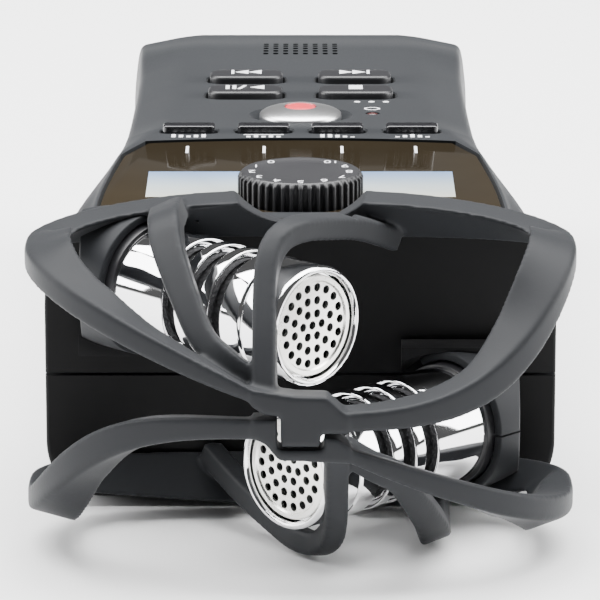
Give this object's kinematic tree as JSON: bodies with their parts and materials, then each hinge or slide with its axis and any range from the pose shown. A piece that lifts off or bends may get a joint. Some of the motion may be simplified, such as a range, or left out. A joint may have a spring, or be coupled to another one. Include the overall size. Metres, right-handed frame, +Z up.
{
  "type": "handheld voice recorder",
  "caption": "Handheld stereo voice recorder with crossed chrome microphones in a two-part guard, a level dial, a display, push buttons and a sliding battery cover.",
  "frame": {"origin": "centre of the bounding box in plan, at the level of the flat back it lies on", "axes": "+Z up out of the display, +Y from the microphone end towards the speaker end, +X towards the side with the volume buttons"},
  "size_m": [0.05, 0.1375, 0.032],
  "materials": {
    "soft_plastic": "soft-touch matte",
    "dark_plastic": "matte",
    "chrome": "mirror polish",
    "grille_metal": "satin, perforated",
    "mic_element": "matte",
    "window": "dark glossy",
    "lcd": "backlit film",
    "dial": "matte, ribbed side",
    "component": "moulded",
    "glossy_black": "semi-gloss",
    "satin_silver": "satin",
    "red_lens": "satin",
    "led": "clear dome",
    "rubber": "matte",
    "jack": "satin",
    "steel": "satin",
    "board": "solder mask",
    "speaker": "matte",
    "cell_wrap": "printed film over a metal can",
    "nickel": "plated",
    "brass": "turned"
  },
  "bodies": {
    "recorder": {"battery_contact_left_far": "nickel", "battery_contact_left_near": "nickel", "battery_contact_right_far": "nickel", "battery_contact_right_near": "nickel", "battery_left": "cell_wrap", "battery_right": "cell_wrap", "battery_tray": "dark_plastic", "bottom_shell": "soft_plastic", "card_socket": "steel", "case_screw_1": "steel", "case_screw_2": "steel", "case_screw_3": "steel", "case_screw_4": "steel", "dial_potentiometer": "component", "display_window": "window", "key_pad": "rubber", "lcd_panel": "lcd", "line_in_jack": "jack", "lower_guard": "soft_plastic", "lower_mic_core": "dark_plastic", "lower_mic_element": "mic_element", "lower_mic_grille": "grille_metal", "lower_mic_holder": "soft_plastic", "lower_mic_holder_cap": "soft_plastic", "lower_mic_sleeve": "chrome", "main_board": "board", "memory_card": "dark_plastic", "phones_jack": "jack", "rec_led": "led", "speaker_driver": "speaker", "top_shell": "soft_plastic", "tripod_insert": "brass", "upper_guard": "soft_plastic", "upper_mic_core": "dark_plastic", "upper_mic_element": "mic_element", "upper_mic_grille": "grille_metal", "upper_mic_holder": "soft_plastic", "upper_mic_holder_cap": "soft_plastic", "upper_mic_sleeve": "chrome", "usb_port": "steel"},
    "input_dial": {"input_dial": "dial"},
    "rec_button": {"rec_button": "satin_silver", "rec_button_lens": "red_lens"},
    "button_auto_level": {"button_auto_level": "glossy_black"},
    "button_limiter": {"button_limiter": "glossy_black"},
    "button_lo_cut": {"button_lo_cut": "glossy_black"},
    "button_audio": {"button_audio": "glossy_black"},
    "play_pause_button": {"play_pause_button": "glossy_black"},
    "stop_button": {"stop_button": "glossy_black"},
    "rewind_button": {"rewind_button": "glossy_black"},
    "forward_button": {"forward_button": "glossy_black"},
    "volume_up_button": {"volume_up_button": "glossy_black"},
    "volume_down_button": {"volume_down_button": "glossy_black"},
    "delete_button": {"delete_button": "glossy_black"},
    "power_switch": {"power_switch": "glossy_black"},
    "card_door": {"card_door": "soft_plastic"},
    "battery_cover": {"battery_cover": "soft_plastic"}
  },
  "joints": [
    {"name": "dial_turn", "type": "hinge", "parent": "recorder", "child": "input_dial", "pos_m": [0, -0.03175, 0.0264], "axis": [0, 0, 1], "range_deg": [-142, 142]},
    {"name": "button_auto_level_press", "type": "slide", "parent": "recorder", "child": "button_auto_level", "axis": [0, 0, -1], "range_m": [0, 0.0004], "stiffness_N_per_m": 500, "springref_m": -0.0004},
    {"name": "button_limiter_press", "type": "slide", "parent": "recorder", "child": "button_limiter", "axis": [0, 0, -1], "range_m": [0, 0.0004], "stiffness_N_per_m": 500, "springref_m": -0.0004},
    {"name": "button_lo_cut_press", "type": "slide", "parent": "recorder", "child": "button_lo_cut", "axis": [0, 0, -1], "range_m": [0, 0.0004], "stiffness_N_per_m": 500, "springref_m": -0.0004},
    {"name": "button_audio_press", "type": "slide", "parent": "recorder", "child": "button_audio", "axis": [0, 0, -1], "range_m": [0, 0.0004], "stiffness_N_per_m": 500, "springref_m": -0.0004},
    {"name": "rec_button_press", "type": "slide", "parent": "recorder", "child": "rec_button", "axis": [0, 0, -1], "range_m": [0, 0.0004], "stiffness_N_per_m": 500, "springref_m": -0.0004},
    {"name": "play_pause_button_press", "type": "slide", "parent": "recorder", "child": "play_pause_button", "axis": [0, 0, -1], "range_m": [0, 0.0004], "stiffness_N_per_m": 500, "springref_m": -0.0004},
    {"name": "stop_button_press", "type": "slide", "parent": "recorder", "child": "stop_button", "axis": [0, 0, -1], "range_m": [0, 0.0004], "stiffness_N_per_m": 500, "springref_m": -0.0004},
    {"name": "forward_button_press", "type": "slide", "parent": "recorder", "child": "forward_button", "axis": [0, 0, -1], "range_m": [0, 0.0004], "stiffness_N_per_m": 500, "springref_m": -0.0004},
    {"name": "rewind_button_press", "type": "slide", "parent": "recorder", "child": "rewind_button", "axis": [0, 0, -1], "range_m": [0, 0.0004], "stiffness_N_per_m": 500, "springref_m": -0.0004},
    {"name": "volume_up_button_press", "type": "slide", "parent": "recorder", "child": "volume_up_button", "axis": [-1, 0, 0], "range_m": [0, 0.0004], "stiffness_N_per_m": 500, "springref_m": -0.0004},
    {"name": "volume_down_button_press", "type": "slide", "parent": "recorder", "child": "volume_down_button", "axis": [-1, 0, 0], "range_m": [0, 0.0004], "stiffness_N_per_m": 500, "springref_m": -0.0004},
    {"name": "delete_button_press", "type": "slide", "parent": "recorder", "child": "delete_button", "axis": [1, 0, 0], "range_m": [0, 0.0004], "stiffness_N_per_m": 500, "springref_m": -0.0004},
    {"name": "power_slide", "type": "slide", "parent": "recorder", "child": "power_switch", "axis": [0, 1, 0], "range_m": [0, 0.003]},
    {"name": "card_door_swing", "type": "hinge", "parent": "recorder", "child": "card_door", "pos_m": [-0.01821, 0.02625, 0.0143], "axis": [0, -1, 0], "range_deg": [0, 100]},
    {"name": "battery_cover_slide", "type": "slide", "parent": "recorder", "child": "battery_cover", "axis": [0, 1, 0], "range_m": [0, 0.006]}
  ]
}
